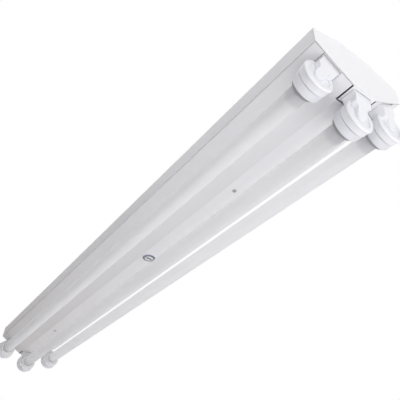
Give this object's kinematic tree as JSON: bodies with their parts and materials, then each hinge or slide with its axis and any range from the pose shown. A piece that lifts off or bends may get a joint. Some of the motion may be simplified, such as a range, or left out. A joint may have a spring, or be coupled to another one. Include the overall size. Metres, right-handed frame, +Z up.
{
  "type": "tube light fixture",
  "caption": "White sheet-metal batten light for straight tube lamps side by side under a folded reflector, held in weatherproof screw-ring lampholders.",
  "frame": {"origin": "middle of the flat back where it lies on the ceiling, midway between the two ceiling slots", "axes": "+X along the lamps, +Y across the body, +Z up into the ceiling"},
  "size_m": [1.25, 0.1812, 0.1325],
  "materials": {
    "white_paint": "satin",
    "zinc_steel": "satin",
    "dark_screw_steel": "satin",
    "spring_brass": "polished",
    "sleeved_wire": "matte",
    "lampholder_white": "gloss",
    "ring_white": "gloss",
    "rotor_white": "matte",
    "seal_rubber": "matte",
    "cap_aluminium": "satin",
    "opal_glass": "gloss",
    "ferrule_grey": "satin",
    "stud_steel": "satin",
    "ballast_case": "matte",
    "terminal_plastic": "matte"
  },
  "bodies": {
    "batten": {"gear_tray": "white_paint", "reflector_cover": "white_paint", "end_plate_a": "white_paint", "lampholder_bracket_a": "white_paint", "cover_bridge_a": "zinc_steel", "holder_contacts_a": "spring_brass", "lamp_wiring_a": "sleeved_wire", "end_plate_b": "white_paint", "lampholder_bracket_b": "white_paint", "cover_bridge_b": "zinc_steel", "holder_contacts_b": "spring_brass", "lamp_wiring_b": "sleeved_wire", "lampholder_left_a": "lampholder_white", "lampholder_middle_a": "lampholder_white", "lampholder_right_a": "lampholder_white", "lampholder_left_b": "lampholder_white", "lampholder_middle_b": "lampholder_white", "lampholder_right_b": "lampholder_white", "fastener_bridge": "zinc_steel", "fastener_ferrule": "ferrule_grey", "fastener_retainer": "zinc_steel", "cover_screws": "dark_screw_steel", "lampholder_screws": "zinc_steel", "twin_ballast_case": "ballast_case", "single_ballast_case": "ballast_case", "ballast_terminals": "terminal_plastic", "mains_terminal_block": "terminal_plastic", "ballast_nuts": "zinc_steel", "earth_nut": "zinc_steel", "cable_grommet": "seal_rubber", "mains_wiring": "sleeved_wire"},
    "lamp_left": {"lamp_tube_left": "opal_glass", "lamp_cap_left_a": "cap_aluminium", "lamp_cap_left_b": "cap_aluminium", "rotor_left_a": "rotor_white", "rotor_left_b": "rotor_white"},
    "lamp_middle": {"lamp_tube_middle": "opal_glass", "lamp_cap_middle_a": "cap_aluminium", "lamp_cap_middle_b": "cap_aluminium", "rotor_middle_a": "rotor_white", "rotor_middle_b": "rotor_white"},
    "lamp_right": {"lamp_tube_right": "opal_glass", "lamp_cap_right_a": "cap_aluminium", "lamp_cap_right_b": "cap_aluminium", "rotor_right_a": "rotor_white", "rotor_right_b": "rotor_white"},
    "seal_left_a": {"seal_left_a": "seal_rubber"},
    "ring_nut_left_a": {"ring_nut_left_a": "ring_white"},
    "seal_left_b": {"seal_left_b": "seal_rubber"},
    "ring_nut_left_b": {"ring_nut_left_b": "ring_white"},
    "seal_middle_a": {"seal_middle_a": "seal_rubber"},
    "ring_nut_middle_a": {"ring_nut_middle_a": "ring_white"},
    "seal_middle_b": {"seal_middle_b": "seal_rubber"},
    "ring_nut_middle_b": {"ring_nut_middle_b": "ring_white"},
    "seal_right_a": {"seal_right_a": "seal_rubber"},
    "ring_nut_right_a": {"ring_nut_right_a": "ring_white"},
    "seal_right_b": {"seal_right_b": "seal_rubber"},
    "ring_nut_right_b": {"ring_nut_right_b": "ring_white"},
    "fastener": {"fastener_stud": "stud_steel"}
  },
  "joints": [
    {"name": "lamp_left_twist", "type": "hinge", "parent": "batten", "child": "lamp_left", "pos_m": [0, -0.06662, -0.08379], "axis": [-1, 0, 0], "range_deg": [0, 90]},
    {"name": "lamp_middle_twist", "type": "hinge", "parent": "batten", "child": "lamp_middle", "pos_m": [0, 0, -0.1085], "axis": [1, 0, 0], "range_deg": [0, 90]},
    {"name": "lamp_right_twist", "type": "hinge", "parent": "batten", "child": "lamp_right", "pos_m": [0, 0.06662, -0.08379], "axis": [1, 0, 0], "range_deg": [0, 90]},
    {"name": "seal_left_a_slide", "type": "slide", "parent": "batten", "child": "seal_left_a", "axis": [-1, 0, 0], "range_m": [0, 0.008]},
    {"name": "ring_nut_left_a_turn", "type": "hinge", "parent": "seal_left_a", "child": "ring_nut_left_a", "pos_m": [0.591, -0.06662, -0.08379], "axis": [-1, 0, 0], "range_deg": [0, 720]},
    {"name": "seal_left_b_slide", "type": "slide", "parent": "batten", "child": "seal_left_b", "axis": [1, 0, 0], "range_m": [0, 0.008]},
    {"name": "ring_nut_left_b_turn", "type": "hinge", "parent": "seal_left_b", "child": "ring_nut_left_b", "pos_m": [-0.591, -0.06662, -0.08379], "axis": [1, 0, 0], "range_deg": [0, 720]},
    {"name": "seal_middle_a_slide", "type": "slide", "parent": "batten", "child": "seal_middle_a", "axis": [-1, 0, 0], "range_m": [0, 0.008]},
    {"name": "ring_nut_middle_a_turn", "type": "hinge", "parent": "seal_middle_a", "child": "ring_nut_middle_a", "pos_m": [0.591, 0, -0.1085], "axis": [-1, 0, 0], "range_deg": [0, 720]},
    {"name": "seal_middle_b_slide", "type": "slide", "parent": "batten", "child": "seal_middle_b", "axis": [1, 0, 0], "range_m": [0, 0.008]},
    {"name": "ring_nut_middle_b_turn", "type": "hinge", "parent": "seal_middle_b", "child": "ring_nut_middle_b", "pos_m": [-0.591, 0, -0.1085], "axis": [1, 0, 0], "range_deg": [0, 720]},
    {"name": "seal_right_a_slide", "type": "slide", "parent": "batten", "child": "seal_right_a", "axis": [-1, 0, 0], "range_m": [0, 0.008]},
    {"name": "ring_nut_right_a_turn", "type": "hinge", "parent": "seal_right_a", "child": "ring_nut_right_a", "pos_m": [0.591, 0.06662, -0.08379], "axis": [-1, 0, 0], "range_deg": [0, 720]},
    {"name": "seal_right_b_slide", "type": "slide", "parent": "batten", "child": "seal_right_b", "axis": [1, 0, 0], "range_m": [0, 0.008]},
    {"name": "ring_nut_right_b_turn", "type": "hinge", "parent": "seal_right_b", "child": "ring_nut_right_b", "pos_m": [-0.591, 0.06662, -0.08379], "axis": [1, 0, 0], "range_deg": [0, 720]},
    {"name": "cover_fastener_turn", "type": "hinge", "parent": "batten", "child": "fastener", "pos_m": [0.112, -0.0055, -0.0795], "axis": [0, 0, -1], "range_deg": [0, 90]}
  ],
  "couplings": [
    {"joint": "ring_nut_left_a_turn", "follows": "seal_left_a_slide", "rad_per_m": 1570.8},
    {"joint": "ring_nut_left_b_turn", "follows": "seal_left_b_slide", "rad_per_m": 1570.8},
    {"joint": "ring_nut_middle_a_turn", "follows": "seal_middle_a_slide", "rad_per_m": 1570.8},
    {"joint": "ring_nut_middle_b_turn", "follows": "seal_middle_b_slide", "rad_per_m": 1570.8},
    {"joint": "ring_nut_right_a_turn", "follows": "seal_right_a_slide", "rad_per_m": 1570.8},
    {"joint": "ring_nut_right_b_turn", "follows": "seal_right_b_slide", "rad_per_m": 1570.8}
  ]
}
